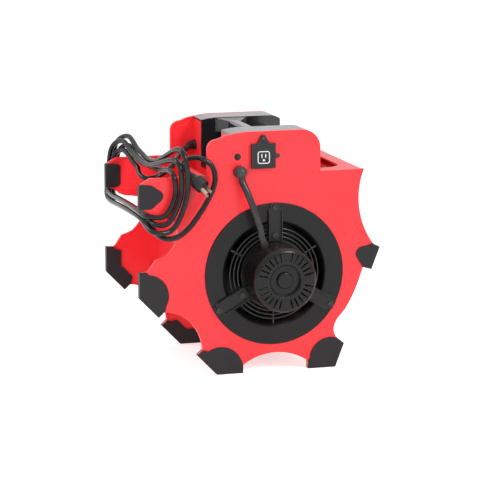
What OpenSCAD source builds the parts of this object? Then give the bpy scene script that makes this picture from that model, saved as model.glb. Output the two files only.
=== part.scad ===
// Multi-position centrifugal air blower with carry handle, cord horns and a
// front-mounted motor. Frame: +Z up, floor at Z = 0, air leaves towards +X,
// the motor side faces -Y. All sizes are in millimetres.

/* [Roll frame] */
// Height from the floor to the top of the handle towers
total_h = 440; // [425:1:460]
// Width between the outer faces of the two side plates
frame_w = 264; // [240:1:300]
// Height of the shoulders in front of and behind the towers
shoulder_h = 364; // [360:1:372]
// X of the rear feet and the cord horns
rear_x = -225.5; // [-236:0.5:-220]
// X where the rear 46 degree stance reaches the floor
rear_toe_x = -83; // [-88:1:-78]
// X where the front stance reaches the floor
front_toe_x = 141.5; // [138:0.5:148]
// Lean of the rear stance from the floor
rear_lean = 46; // [44:1:48]
// Lean of the front stance from the floor
front_lean = 69; // [67:1:71]
// Rear edge of the towers
tower_x0 = -100; // [-106:1:-94]
// Front edge of the towers
tower_x1 = 111.5; // [106:0.5:116]
// Thickness of a side plate
skin_t = 4; // [3:0.5:5]
// Depth of the rim that stiffens each plate edge
rim_w = 7; // [5:1:12]
// Thickness of that rim
rim_t = 3; // [2:0.5:4]

/* [Rubber caps] */
// Thickness of the rubber caps
cap_t = 3; // [2:0.5:4]
// Width of the lip that hooks behind the rim
cap_lip = 28; // [18:1:32]

/* [Volute and duct] */
// Height of the impeller axis above the floor
fan_z = 180; // [178:1:184]
// X of the impeller axis
fan_x = 25; // [22:1:28]
// Scroll radius at the tongue
scroll_r0 = 122; // [120:0.5:124]
// Growth of the scroll radius from the tongue to the top
scroll_grow = 43; // [38:1:46]
// Wall thickness of the scroll and the duct
wall_t = 3; // [2.5:0.5:4]
// X where the roof of the outlet ends
mouth_x = 188; // [184:1:190]

/* [Inlet] */
// Outer radius of the inlet ring
ring_r = 130; // [126:1:134]
// Radius of the inlet opening
inlet_r = 93; // [90:1:96]
// Height of the inlet ring over the plate
ring_t = 3; // [2:0.5:5]
// Wire radius of the inlet guard
guard_wire_r = 1.6; // [1.2:0.1:2.2]
// Number of guard rings
guard_rings = 3; // [2:1:4]

/* [Motor] */
// Radius of the motor can
motor_r = 59; // [56:0.5:60]
// Distance from the near plate to the front face of the motor
motor_out = 73; // [65:1:80]
// Length of the motor
motor_len = 165; // [155:1:170]
// Radius of the motor shaft
shaft_r = 6; // [5:0.5:8]
// Width of the three arms that carry the motor
arm_w = 26; // [20:1:30]
// Thickness of the arms
arm_t = 3; // [2:0.5:4]
// Radius from the axis to the outer arm screws
arm_screw_r = 122; // [118:1:124]

/* [Impeller] */
// Outer radius of the impeller
wheel_r = 112; // [106:1:114]
// Radial depth of the blades
blade_d = 17; // [14:1:20]
// Number of blades
blade_n = 36; // [24:1:44]
// Gap from the end rings of the impeller to the side plates
wheel_gap = 43; // [36:1:50]

/* [Handle and controls] */
// Rear end of the handle insert
insert_x0 = -55; // [-60:1:-50]
// Front end of the handle insert
insert_x1 = 98; // [92:1:102]
// Width of the switch box against the far tower
far_box_w = 62; // [58:1:66]
// Width of the receptacle box against the near tower
near_box_w = 66; // [60:1:70]
// Width of the hand grip
grip_w = 24; // [20:1:28]
// Depth of the hand grip
grip_h = 26; // [22:1:30]
// Radius of the speed knob
knob_r = 19; // [16:0.5:21]
// Width of the square receptacle cover
flap_w = 44.5; // [42:0.5:47]
// Travel of the breaker reset button
reset_travel = 2.5; // [1.5:0.5:3.5]

/* [Cord] */
// Diameter of the mains cord
cord_d = 9.5; // [8:0.5:10]
// Turns of cord round the two horns
cord_turns = 3; // [2:1:4]

/* [Hidden] */

$fn = 64;
eps = 0.01;
fit = 0.3;            // clearance of a curved seat
run_fit = 0.05;       // radial running fit of the shaft
bush_ctrl_r = 6;      // bush of the switch and of the breaker
bush_fit_r = 6.1;     // hole for such a bush

y_near = -97;                          // outer face of the near plate
y_far = y_near + frame_w;              // outer face of the far plate
y_seam = (y_near + y_far) / 2;         // joint between the two shells
y_cap = y_near - cap_t;                // outer face of the near caps
y_motor = y_near - motor_out;          // front face of the motor
seat_r = ring_r - 12;                  // step of the inlet panels in the plates
scroll_sweep = 305;                    // degrees from the tongue to the top
tongue_a = 35;                         // angle of the tongue
duct_roof = fan_z + scroll_r0 + scroll_grow;
duct_floor0 = fan_z + scroll_r0 * sin(tongue_a);
duct_floor1 = duct_floor0 + 12;
tower_r0 = 18;                         // rear corner of a tower
tower_r1 = 34;                         // front corner of a tower
crown_dx = 76;                         // rear tower edge to the level crown
crown_drop = 11.5;                     // fall of the crown towards the rear
bay = [-200, 262, 45];                 // centre and radius of the cord bay
mouth_c = [330, 312, 145];             // centre and radius of the mouth curve
belly = [28, -71, 105];                // centre and radius of the floor arch
belly_x0 = -34;                        // inner end of the rear floor foot
belly_x1 = 90;                         // inner end of the front floor foot
foot_top = 195.5;                      // top of the rear stance face
horn_z = shoulder_h - 55;              // underside of the cord horn at its cap
heel = [103.7, 44.8, 78];              // along and off the rear stance, radius
toe = [164, 70.6, 25];                 // centre and radius behind the front foot

red = [0.86, 0.07, 0.09];
black = [0.07, 0.07, 0.08];
steel = [0.72, 0.72, 0.74];

// ---------------------------------------------------------------- helpers

// Extrudes a drawing in X and Z from y0 to y1
module slab(y0, y1) {
    translate([0, y1, 0])
        rotate([90, 0, 0])
            linear_extrude(y1 - y0)
                children();
}

// Draws the same thing on the far side of the seam
module far_side() {
    translate([0, 2 * y_seam, 0])
        mirror([0, 1, 0])
            children();
}

// Turns a piece round the impeller axis
module spin(a) {
    translate([fan_x, 0, fan_z])
        rotate([0, -a, 0])
            children();
}

// A revolved piece on the impeller axis: profile in radius and Y
module turned(fn = 96) {
    translate([fan_x, 0, fan_z])
        rotate([-90, 0, 0])
            rotate_extrude($fn = fn)
                children();
}

// A round bar along Y
module rod_y(x, z, r, y0, y1, fn = 48) {
    translate([x, y0, z])
        rotate([-90, 0, 0])
            cylinder(r = r, h = y1 - y0, $fn = fn);
}

// The half of the drawing to the left of a line through p
module half_plane(p, a) {
    translate(p)
        rotate(a)
            translate([-900, 0])
                square([1800, 1200]);
}

// ------------------------------------------------------------ side outline

// Tower with its raised crown; d draws it that much smaller
module tower_outline(d = 0) {
    translate([tower_x0 + tower_r0, total_h - crown_drop - tower_r0])
        circle(r = tower_r0 - d);
    translate([tower_x1 - tower_r1, total_h - tower_r1])
        circle(r = tower_r1 - d);
    polygon([
        [tower_x0 + d, shoulder_h - 60],
        [tower_x0 + d, total_h - crown_drop - tower_r0],
        [tower_x0 + tower_r0, total_h - crown_drop - d],
        [tower_x0 + 0.45 * crown_dx, total_h - 0.48 * crown_drop - d],
        [tower_x0 + 0.8 * crown_dx, total_h - 0.1 * crown_drop - d],
        [tower_x0 + crown_dx, total_h - d],
        [tower_x1 - tower_r1, total_h - d],
        [tower_x1 - d, total_h - tower_r1],
        [tower_x1 - d, shoulder_h - 60]]);
}

// Moves a drawing a little to every side, which grows a cut by e
module grown(e) {
    for (v = [[0, 0], [e, 0], [-e, 0], [0, e], [0, -e]])
        translate(v)
            children();
}

// Outline of a side plate; d is how far the stance faces stay inside the caps
// and e how far every edge is set in
module star(d = 0, e = 0) {
    k = d + e;
    difference() {
        intersection() {
            translate([rear_x + k, k])
                square([600, shoulder_h - k - e]);
            half_plane([rear_toe_x, 0] + k * [sin(rear_lean), cos(rear_lean)], -rear_lean);
            half_plane([front_toe_x, 0] + k * [-sin(front_lean), cos(front_lean)], front_lean);
            half_plane([rear_x + 21 + e, shoulder_h - e], -149.5);
        }
        // cord bay behind the rear foot
        intersection() {
            translate([bay[0], bay[1]])
                circle(r = bay[2] + e);
            translate([rear_x, foot_top])
                square([100, horn_z - 21 + e - foot_top]);
        }
        grown(e)
            polygon([
                [rear_x - 20, foot_top], [rear_x + 14, foot_top], [rear_x + 18, foot_top + 2.5],
                [rear_x + 25, foot_top + 13], [rear_x + 30, foot_top + 20.5],
                [rear_x + 41, foot_top + 25], [rear_x + 52, foot_top + 29],
                [bay[0] + 40, bay[1]], [bay[0] + 37, horn_z - 21], [bay[0] + 24, horn_z - 18.5],
                [bay[0] + 12, horn_z - 17.5], [bay[0], horn_z - 13], [rear_x + 17, horn_z - 4.5],
                [rear_x + 4, horn_z], [rear_x - 20, horn_z]]);
        // arch between the two rear feet
        translate([rear_toe_x, 0])
            rotate(180 - rear_lean)
                intersection() {
                    translate([heel[0], heel[1]])
                        circle(r = heel[2] + e);
                    translate([heel[0] - 51.7 - e, -60])
                        square([103.4 + 2 * e, 200]);
                }
        // arch between the floor feet
        intersection() {
            translate([belly[0], belly[1]])
                circle(r = belly[2] + e);
            translate([belly_x0 - e, -60])
                square([belly_x1 - belly_x0 + 2 * e, 200]);
        }
        // hollow between the front feet
        grown(e)
            polygon([
                [194.5, 182.5], [236, 171], [236, 30], [161, 41], [147, 52.5], [141.5, 60.5],
                [139.4, 70], [140.3, 78], [144.2, 87], [150.8, 95], [159.5, 105], [167.2, 117],
                [174, 129.5], [180, 142.5], [185.5, 156], [190.5, 170.5]]);
        translate([toe[0], toe[1]])
            circle(r = toe[2] + e);
        // curved edge of the mouth
        intersection() {
            translate([mouth_c[0], mouth_c[1]])
                circle(r = mouth_c[2] + e);
            half_plane([211, 226 - e], -25);
        }
    }
    tower_outline(e);
}

// ----------------------------------------------------------------- scroll

function scroll_pt(a, dr) =
    let (r = scroll_r0 + scroll_grow * a / scroll_sweep + dr)
    [fan_x + r * cos(tongue_a - a), fan_z + r * sin(tongue_a - a)];

// Scroll and duct together; dr grows the drawing by the wall
module scroll(dr, x_end) {
    polygon(concat([for (a = [0:5:scroll_sweep]) scroll_pt(a, dr)], [[fan_x, fan_z]]));
    polygon([
        [fan_x, duct_roof + dr],
        [x_end, duct_roof + dr],
        [x_end + 6, duct_floor1 - dr],
        [fan_x + scroll_r0 * cos(tongue_a) + 2, duct_floor0 - dr],
        [fan_x, fan_z]]);
}

module scroll_wall(y0, y1) {
    difference() {
        slab(y0, y1) scroll(wall_t, mouth_x);
        slab(y0 - 1, y1 + 1) scroll(0, mouth_x + 20);
    }
}

// Top of the duct: a raised lip over the mouth with a rounded well behind it
lip_w = 22;
well_floor = duct_roof + wall_t;
well_y = 32;         // plate to the well, along Y
well_r = 34;         // corner radius of the well in plan
apron_h = 30;        // reach of the box walls below the roof of the duct
rail_t = 4;          // thickness of the rails of the handle insert
cheek_t = 3;         // thickness of its side walls

module lip_block(y0, y1) {
    difference() {
        translate([tower_x1 - 6, y0, well_floor - 1])
            cube([mouth_x + 3 - tower_x1 + 6, y1 - y0, shoulder_h - well_floor + 1]);
        translate([tower_x1 - 20, y0 + well_y + well_r, well_floor])
            cube([mouth_x - lip_w - tower_x1 + 20, y1 - y0, 60]);
        translate([tower_x1 - 20, y0 + well_y, well_floor])
            cube([mouth_x - lip_w - well_r - tower_x1 + 20, y1 - y0, 60]);
        translate([mouth_x - lip_w - well_r, y0 + well_y + well_r, well_floor])
            cylinder(r = well_r, h = 60);
        // finger slot along the back of the lip
        translate([mouth_x - lip_w - 1, y0 + well_y + well_r + 4, well_floor + 2])
            cube([lip_w - 4, y1 - y0, shoulder_h - well_floor - 5]);
    }
}

// Box that joins a tower to the handle insert; w is its width along Y
module tower_box(w) {
    slab(y_near + skin_t - 1, y_near + w - cheek_t)
        intersection() {
            translate([0, -rail_t])
                tower_outline();
            for (x = [insert_x0, insert_x1 - wall_t])
                translate([x, duct_roof - apron_h])
                    square([wall_t, total_h]);
        }
    // apron under the rear edge of the deck
    translate([insert_x0, y_near + skin_t - 1, duct_roof - apron_h])
        cube([wall_t, y_seam - y_near - skin_t + 1, apron_h + wall_t]);
}

screw_at = [[-110.5, 291], [-136.9, 152.5], [124.4, 77.2], [160.5, 247.8], [100.6, 362.6], [-89.1, 349.5]];
boss_r = 6;
screw_hole_r = 2.2;

// One half of the housing, drawn on the near side
module shell_half(box_w, hole_y) {
    difference() {
        union() {
            difference() {
                slab(y_near, y_near + rim_w) star(cap_t);
                slab(y_near + skin_t, y_near + rim_w + 1) star(cap_t, rim_t);
            }
            scroll_wall(y_near + skin_t - 1, y_seam);
            intersection() {
                lip_block(y_near + skin_t - 1, y_seam);
                slab(y_near, y_seam) star(cap_t);
            }
            tower_box(box_w);
            for (p = screw_at)
                rod_y(p[0], p[1], boss_r, y_near + skin_t - 1, y_seam);
        }
        // room inside the scroll for the air
        slab(y_near + skin_t, y_seam + 1) scroll(0, mouth_x + 20);
        // seat of the inlet ring
        rod_y(fan_x, fan_z, seat_r + fit, y_near - 1, y_near + skin_t + 1, 128);
        // screw holes
        for (p = screw_at)
            rod_y(p[0], p[1], screw_hole_r, hole_y, y_seam + 1, 24);
    }
}

receptacle_x = 3;
receptacle_z = total_h - 44;
breaker_x = -43.6;
breaker_z = total_h - 44.2;
boot_x = -41;
boot_z = total_h - 71;
boot_neck_r = 7;
fix_x = 30.5;        // screw that holds the receptacle
fix_z = total_h - 44.7;
exit_y = y_far - 19;
exit_z = total_h - 56;
relief_r = 6;

module near_shell() {
    color(red)
    difference() {
        shell_half(near_box_w, y_near + skin_t + 2);
        // receptacle window
        translate([receptacle_x - 17, y_near - 1, receptacle_z - 17])
            cube([34, skin_t + 2, 30]);
        // breaker bush and lead boot
        rod_y(breaker_x, breaker_z, bush_fit_r, y_near - 1, y_near + skin_t + 1, 32);
        rod_y(boot_x, boot_z, boot_neck_r + fit, y_near - 1, y_near + skin_t + 1, 32);
        rod_y(cover_x, cover_z, screw_hole_r, y_near - 1, y_near + skin_t + 1, 24);
        rod_y(fix_x, fix_z, screw_hole_r, y_near - 1, y_near + skin_t + 1, 24);
    }
}

module far_shell() {
    color(red)
    far_side()
    difference() {
        shell_half(far_box_w, y_near - 1);
        // hole for the cord strain relief
        translate([insert_x0 - 5, 2 * y_seam - exit_y, exit_z])
            rotate([0, 90, 0])
                cylinder(r = relief_r + fit, h = wall_t + 10, $fn = 48);
    }
}

// ------------------------------------------------------------- foot caps

// Round back of each cap, in the order horn, rear, rear floor, front floor, front:
// centre x, centre z, radius, and the angles where the round begins and ends
cap_round = [
    [-192.5, horn_z + 23, 11, -50, 57],
    [-211.5, 151, 39.5, -30, 85],
    [-76, 9, 41.5, 17, 122],
    [131.5, 18, 38, 68, 177],
    [193.5, 208, 13, 100, 220]];

// Corners that close the outline of each cap past the edge of the plate
cap_corners = [
    [[-203, horn_z + 43], [rear_x - 9, horn_z + 46], [rear_x - 9, horn_z - 1], [-203, horn_z]],
    [[-213, foot_top + 0.5], [rear_x - 9, foot_top + 0.5], [rear_x - 9, 96], [-182, 96],
        [-179.5, 119]],
    [[-106, 46], [-120, 52], [-140, 44], [-90, -9], [belly_x0 + 0.5, -9], [belly_x0 + 0.5, 14]],
    [[belly_x1 - 0.5, 14], [belly_x1 - 0.5, -9], [170, -9], [170, 56], [146, 56]],
    [[195, 181], [214, 170], [236, 210], [236, 225], [212, 226], [200, 222.5]]];

function arc_pts(c, n = 12) =
    [for (i = [0:n]) let (a = c[3] + (c[4] - c[3]) * i / n) [c[0] + c[2] * cos(a), c[1] + c[2] * sin(a)]];

module cap_zone(i) {
    polygon(concat(arc_pts(cap_round[i]), cap_corners[i]));
}

// Stance faces seen from the outside: the star without its inset
module cap_outer(i) {
    intersection() {
        star();
        cap_zone(i);
    }
}

// One cap on the near side: face, stance band and the lip behind the rim
module cap(i) {
    color(black) {
        slab(y_cap, y_near) cap_outer(i);
        slab(y_near - eps, y_near + rim_w + cap_t) difference() {
            cap_outer(i);
            star(cap_t);
        }
        slab(y_near + rim_w, y_near + rim_w + cap_t) difference() {
            cap_outer(i);
            star(cap_lip);
        }
    }
}

module near_cap_horn() cap(0);
module near_cap_rear() cap(1);
module near_cap_rear_floor() cap(2);
module near_cap_front_floor() cap(3);
module near_cap_front() cap(4);
module far_cap_horn() far_side() cap(0);
module far_cap_rear() far_side() cap(1);
module far_cap_rear_floor() far_side() cap(2);
module far_cap_front_floor() far_side() cap(3);
module far_cap_front() far_side() cap(4);

// ------------------------------------------------------------------ inlet

cone_end = y_near + wheel_gap - 8;      // inner end of the inlet cone
arm_angles = [90, 210, 330];            // where the motor arms stand
arm_hole_r = 2.6;                       // holes for the arm screws

// Annular panel with a rounded rim and an inlet cone inside the housing
module inlet_ring() {
    color(black)
    difference() {
        turned(128)
            polygon(concat(
                [[ring_r, y_near], [ring_r, y_near - ring_t + 1], [ring_r - 1, y_near - ring_t]],
                [for (a = [0:15:90])
                    [inlet_r + 6 - 6 * sin(a), y_near - ring_t + 6 - 6 * cos(a)]],
                [[inlet_r, y_near + 8], [inlet_r - 4, cone_end], [inlet_r - 1, cone_end],
                 [inlet_r + 3, y_near + 9], [seat_r - 2, y_near + skin_t],
                 [seat_r, y_near + skin_t], [seat_r, y_near]]));
        // holes of the outer arm screws
        for (a = arm_angles)
            spin(a)
                translate([arm_screw_r, y_near - ring_t - 1, 0])
                    rotate([-90, 0, 0])
                        cylinder(r = arm_hole_r, h = 3, $fn = 24);
    }
}

guard_y = y_near + 2;

// Wire guard: rings carried by three radial bars
module inlet_guard() {
    color(black) {
        for (i = [0:guard_rings - 1])
            turned(96)
                translate([motor_r + 9 + i * (inlet_r - motor_r - 12) / guard_rings, guard_y])
                    circle(r = guard_wire_r, $fn = 16);
        for (a = [30:60:330])
            spin(a)
                translate([motor_r + 7, guard_y + 2 * guard_wire_r, 0])
                    rotate([0, 90, 0])
                        cylinder(r = guard_wire_r + 0.3, h = inlet_r - motor_r - 7 - fit, $fn = 16);
    }
}

far_bars = 12;
far_pitch = 13;

// Moulded grille over the far inlet
module far_inlet_grille() {
    color(black)
    far_side() {
        turned(128)
            polygon([[ring_r, y_near], [ring_r, y_near - ring_t + 1], [ring_r - 1, y_near - ring_t],
                [inlet_r + 2, y_near - ring_t], [inlet_r, y_near - ring_t + 2], [inlet_r, y_near + 8],
                [inlet_r - 4, cone_end], [inlet_r - 1, cone_end], [inlet_r + 3, y_near + 9],
                [seat_r - 2, y_near + skin_t], [seat_r, y_near + skin_t], [seat_r, y_near]]);
        for (r = [far_pitch:far_pitch:inlet_r - 4])
            turned(96)
                translate([r - 1.25, y_near - 1])
                    square([2.5, 5]);
        for (i = [0:far_bars - 1])
            spin(i * 360 / far_bars)
                translate([far_pitch - 1, y_near - 1, -1.5])
                    cube([inlet_r - far_pitch + 2, 5, 3]);
    }
}

grille_x = mouth_x - 12;
grille_bars = 7;
grille_posts = 8;

// Finger guard across the outlet
module outlet_grille() {
    inner_w = frame_w - 2 * skin_t - 1;
    y0 = y_near + skin_t + 0.5;
    z0 = duct_floor1 - 1;
    z1 = duct_roof - 0.5;
    color(black) {
        for (i = [0:grille_bars - 1])
            translate([grille_x, y0, z0 + 2 + i * (z1 - z0 - 4) / (grille_bars - 1) - 1.5])
                cube([4, inner_w, 3]);
        for (i = [0:grille_posts])
            translate([grille_x + 0.5, y0 + i * (inner_w - 3) / grille_posts, z0])
                cube([5, 3, z1 - z0]);
    }
}

// Assembly screws, driven in from the far plate
module shell_screws() {
    color(steel)
    far_side()
    for (p = screw_at) {
        difference() {
            rod_y(p[0], p[1], 4.5, y_near - 2, y_near, 32);
            translate([p[0] - 3, y_near - 2.5, p[1] - 0.5])
                cube([6, 1.5, 1]);
            translate([p[0] - 0.5, y_near - 2.5, p[1] - 3])
                cube([1, 1.5, 6]);
        }
    }
}

// ------------------------------------------------------------------ motor

y_can0 = y_motor + 32;                  // front of the can
y_can1 = y_motor + motor_len - 14;      // rear of the can
y_back = y_motor + motor_len;           // rear face of the rear bell
y_arm = y_near - ring_t;                // seat of the arms on the ring
can_t = 2;
flange_r = motor_r + 13;

module motor_can() {
    color(black)
    difference() {
        turned(96)
            translate([motor_r - can_t, y_can0])
                square([can_t, y_can1 - y_can0]);
        // lead hole under the gland
        translate([gland_x, gland_y, gland_z])
            rotate([0, gland_a, 0])
                cylinder(r = 4.2, h = 20, center = true, $fn = 32);
    }
}

// Collar round the can with three screw tabs
module motor_flange() {
    color(black)
    difference() {
        union() {
            turned(96)
                translate([motor_r + 0.05, y_arm])
                    square([4, 8]);
            for (a = arm_angles)
                spin(a)
                    translate([motor_r + 1, y_arm, -arm_w / 2 + 2])
                        cube([flange_r - motor_r + 4, 3, arm_w - 4]);
        }
        for (a = arm_angles)
            spin(a)
                translate([flange_r - 1, y_arm - 1, 0])
                    rotate([-90, 0, 0])
                        cylinder(r = arm_hole_r, h = 6, $fn = 24);
    }
}

vent_groups = 4;
vents = 6;            // slots in a group
vent_step = 12.4;     // degrees from one slot to the next
hub_r = 15;
recess_r = 28;

// Front bell: rounded shoulder, a ring of cooling slots and a recessed centre
module motor_front_bell() {
    color(black)
    difference() {
        turned(96)
            polygon(concat(
                [[0 + shaft_r + 8, y_motor + 9], [recess_r, y_motor + 9], [recess_r, y_motor + 2],
                 [recess_r + 2, y_motor]],
                [for (a = [0:15:90])
                    [motor_r - 10 + 10 * sin(a), y_motor + 10 - 10 * cos(a)]],
                [[motor_r, y_can0], [motor_r - can_t, y_can0], [motor_r - can_t, y_motor + 12],
                 [motor_r - 12, y_motor + 3.5], [recess_r + 4, y_motor + 3.5],
                 [recess_r + 4, y_motor + 13], [shaft_r + 8 + 3, y_motor + 13],
                 [shaft_r + 8 + 3, y_motor + 22], [shaft_r + 8, y_motor + 22]]));
        for (q = [0:vent_groups - 1])
            for (i = [0:vents - 1])
                spin((q + 0.5) * 360 / vent_groups + (i - (vents - 1) / 2) * vent_step)
                    translate([recess_r + 7, y_motor - 1, -1.6])
                        cube([motor_r - recess_r - 14, 6, 3.2]);
    }
}

module motor_rear_bell() {
    color(black)
    turned(96)
        polygon([[shaft_r + 8, y_back - 12], [shaft_r + 11, y_back - 12], [shaft_r + 11, y_back - 3],
            [motor_r - 12, y_back - 3], [motor_r - can_t, y_can1 - 1], [motor_r - can_t, y_can1],
            [motor_r, y_can1], [motor_r, y_can1 + 2], [motor_r - 12, y_back], [shaft_r + 8, y_back]]);
}

// Dust cap pressed into the recess of the front bell
module motor_dust_cap() {
    color(black)
    turned(64)
        polygon(concat([[0, y_motor + 9], [0, y_motor + 3]],
            [for (a = [0:15:90]) [hub_r - 3 + 3 * sin(a), y_motor + 6 - 3 * cos(a)]],
            [[hub_r, y_motor + 9]]));
}

stator_y0 = y_can0 + 18;
stator_y1 = y_can1 - 30;
rotor_r = 30;

module motor_stator() {
    color(steel)
    turned(96)
        translate([rotor_r + 0.6, stator_y0])
            square([motor_r - can_t - rotor_r - 0.6, stator_y1 - stator_y0]);
}

module motor_rotor() {
    color(steel)
    turned(96)
        translate([shaft_r, stator_y0 + 2])
            square([rotor_r - shaft_r, stator_y1 - stator_y0 - 4]);
}

shaft_end = y_seam + 26;

module motor_shaft() {
    color(steel)
    rod_y(fan_x, fan_z, shaft_r, y_motor + 11, shaft_end, 48);
}

bearing_w = 9;

module bearing(y0) {
    color(steel)
    turned(64)
        translate([shaft_r + run_fit, y0])
            square([8 - run_fit, bearing_w]);
}

module front_bearing() bearing(y_motor + 13);
module rear_bearing() bearing(y_back - 12);

// Arm with a raised stiffening bead and slotted ends
module arm(a) {
    r0 = motor_r + 1.5;
    r1 = arm_screw_r + 7;
    color(black)
    spin(a)
    difference() {
        union() {
            translate([r0, y_arm - arm_t, -arm_w / 2])
                cube([r1 - r0 - 8, arm_t, arm_w]);
            translate([r1 - 12, y_arm - arm_t, -arm_w / 2 + 4])
                cube([12, arm_t, arm_w - 8]);
            for (s = [-1, 1])
                translate([r0, y_arm - arm_t - 4, s * (arm_w / 2 - 1) - 1])
                    cube([r1 - r0 - 14, 4 + eps, 2]);
        }
        for (r = [arm_screw_r, flange_r - 1])
            translate([r, y_arm - arm_t - 1, 0])
                rotate([-90, 0, 0])
                    cylinder(r = arm_hole_r, h = arm_t + 2, $fn = 24);
    }
}

module motor_arm_top() arm(90);
module motor_arm_rear() arm(210);
module motor_arm_front() arm(330);

module arm_screws() {
    color(steel)
    for (a = arm_angles)
        for (r = [arm_screw_r, flange_r - 1])
            spin(a)
                translate([r, y_arm - arm_t, 0])
                    difference() {
                        union() {
                            translate([0, -2.5, 0])
                                rotate([-90, 0, 0])
                                    cylinder(r = 4.8, h = 2.5, $fn = 32);
                            rotate([-90, 0, 0])
                                cylinder(r = 2.4, h = arm_t + 1, $fn = 24);
                        }
                        translate([-0.6, -3, -3])
                            cube([1.2, 1.8, 6]);
                        translate([-3, -3, -0.6])
                            cube([6, 1.8, 1.2]);
                    }
}

// --------------------------------------------------------------- impeller

wheel_y0 = y_near + wheel_gap;
wheel_y1 = 2 * y_seam - wheel_y0;
disc_t = 4;
bush_r = 17;

// One forward-curved blade in X and Z, seen along the axis
module blade_2d() {
    r1 = wheel_r - 1;
    r0 = wheel_r - blade_d;
    polygon(concat(
        [for (t = [0:0.25:1]) let (r = r0 + (r1 - r0) * t, a = -9 * t * t) [r * cos(a), r * sin(a)]],
        [for (t = [1:-0.25:0]) let (r = r0 + (r1 - r0) * t, a = -9 * t * t + 0.8) [r * cos(a), r * sin(a)]]));
}

// Double-inlet squirrel-cage wheel
module impeller() {
    color(steel) {
        difference() {
            union() {
                turned(96)
                    translate([shaft_r, y_seam - disc_t / 2])
                        square([wheel_r - shaft_r, disc_t]);
                turned(64)
                    translate([shaft_r, y_seam - 18])
                        square([bush_r - shaft_r, 36]);
            }
            // set screw bore
            translate([fan_x, y_seam - 11, fan_z])
                cylinder(r = 2.5, h = bush_r + 2, $fn = 24);
        }
        for (y = [wheel_y0, wheel_y1 - 5])
            turned(96)
                translate([wheel_r - blade_d - 1, y])
                    square([blade_d + 1, 5]);
        translate([fan_x, 0, fan_z])
            for (i = [0:blade_n - 1])
                rotate([0, i * 360 / blade_n, 0])
                    slab(wheel_y0 + 2, wheel_y1 - 2)
                        blade_2d();
    }
}

// Nut that holds the wheel on the end of the shaft
module hub_nut() {
    color(steel)
    difference() {
        translate([fan_x, y_seam + 18, fan_z])
            rotate([-90, 0, 0])
                cylinder(r = 10, h = 7, $fn = 6);
        rod_y(fan_x, fan_z, shaft_r, y_seam + 17, shaft_end + 1, 48);
    }
}

// ------------------------------------------------------- handle and controls

y_box_near = y_near + near_box_w;       // inner wall of the receptacle box
y_box_far = y_far - far_box_w;          // inner wall of the switch box
deck_t = 3;
deck_z = duct_roof + wall_t;
grip_x = 2;
knob_x = 56;
knob_z = total_h - 32;

// Band under the crown of the towers between the two ends of the insert
module crown_band(t) {
    intersection() {
        difference() {
            tower_outline(0);
            translate([0, -t])
                tower_outline(0);
        }
        translate([insert_x0, shoulder_h])
            square([insert_x1 - insert_x0, 200]);
    }
}

// Wall of the insert up to the crown
module cheek() {
    intersection() {
        tower_outline(0);
        translate([insert_x0, deck_z])
            square([insert_x1 - insert_x0, 200]);
    }
}

// Hand grip with roots that spread into the two rails
module grip() {
    zc = total_h - 3 - grip_h / 2;
    translate([grip_x, 0, zc])
        hull() {
            for (x = [-1, 1], z = [-1, 1])
                translate([x * (grip_w / 2 - 7), y_box_near - 1, z * (grip_h / 2 - 7)])
                    rotate([-90, 0, 0])
                        cylinder(r = 7, h = y_box_far - y_box_near + 2, $fn = 32);
        }
    // spread roots
    for (s = [[y_box_near - 1, 30], [y_box_far + 1, -30]])
        hull() {
            translate([grip_x - grip_w / 2 - 18, s[0] - 0.5, zc - grip_h / 2 + 2])
                cube([grip_w + 36, 1, grip_h]);
            translate([grip_x - grip_w / 2 + 2, s[0] + s[1], zc - grip_h / 2 + 4])
                cube([grip_w - 4, 0.5, grip_h - 6]);
        }
}

module handle_insert() {
    color(black)
    difference() {
        union() {
            // deck on the roof of the scroll
            translate([insert_x0, y_box_near - cheek_t, deck_z])
                cube([insert_x1 - insert_x0, y_box_far - y_box_near + 2 * cheek_t, deck_t]);
            slab(y_box_near - cheek_t, y_box_near) cheek();
            slab(y_box_far, y_box_far + cheek_t) cheek();
            slab(y_near + rim_w, y_box_near) crown_band(rail_t);
            slab(y_box_far, y_far - rim_w) crown_band(rail_t);
            grip();
        }
        // bore of the speed switch
        rod_y(knob_x, knob_z, bush_fit_r, y_box_far - 1, y_box_far + cheek_t + 1, 48);
        // notches round the housing bosses
        for (p = screw_at)
            rod_y(p[0], p[1], boss_r + fit, y_near, y_far, 48);
        // seats of the crown, clear of the walls of the towers
        for (y = [[y_near, y_box_near - cheek_t], [y_box_far + cheek_t, y_far]])
            slab(y[0], y[1])
                translate([0, fit - rail_t])
                    intersection() {
                        tower_outline();
                        for (x = [insert_x0 - 1, insert_x1 - wall_t - fit])
                            translate([x, shoulder_h])
                                square([wall_t + 1 + fit, total_h]);
                    }
    }
}

spindle_r = 3;

// Switch body with the bush that the spindle of the knob turns in
module speed_switch() {
    color(black)
    difference() {
        union() {
            translate([knob_x - 16, y_box_far + cheek_t, knob_z - 18])
                cube([32, 24, 36]);
            rod_y(knob_x, knob_z, bush_ctrl_r, y_box_far, y_box_far + cheek_t + 1, 48);
        }
        rod_y(knob_x, knob_z, spindle_r + run_fit, y_box_far - 1, y_box_far + 14, 48);
    }
}

// Ribbed knob with a pointer ridge
module speed_knob() {
    color(black)
    difference() {
        union() {
            rod_y(knob_x, knob_z, knob_r, y_box_far - 6, y_box_far - 0.5, 64);
            rod_y(knob_x, knob_z, knob_r - 4, y_box_far - 16, y_box_far - 6, 64);
            rod_y(knob_x, knob_z, spindle_r, y_box_far - 1, y_box_far + 12, 48);
            translate([knob_x - 2.5, y_box_far - 20, knob_z - knob_r + 4])
                cube([5, 14, 2 * knob_r - 8]);
        }
        for (i = [0:17])
            translate([knob_x, 0, knob_z])
                rotate([0, i * 20, 0])
                    rod_y(knob_r - 3, 0, 1.2, y_box_far - 17, y_box_far - 6, 16);
    }
}

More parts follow.
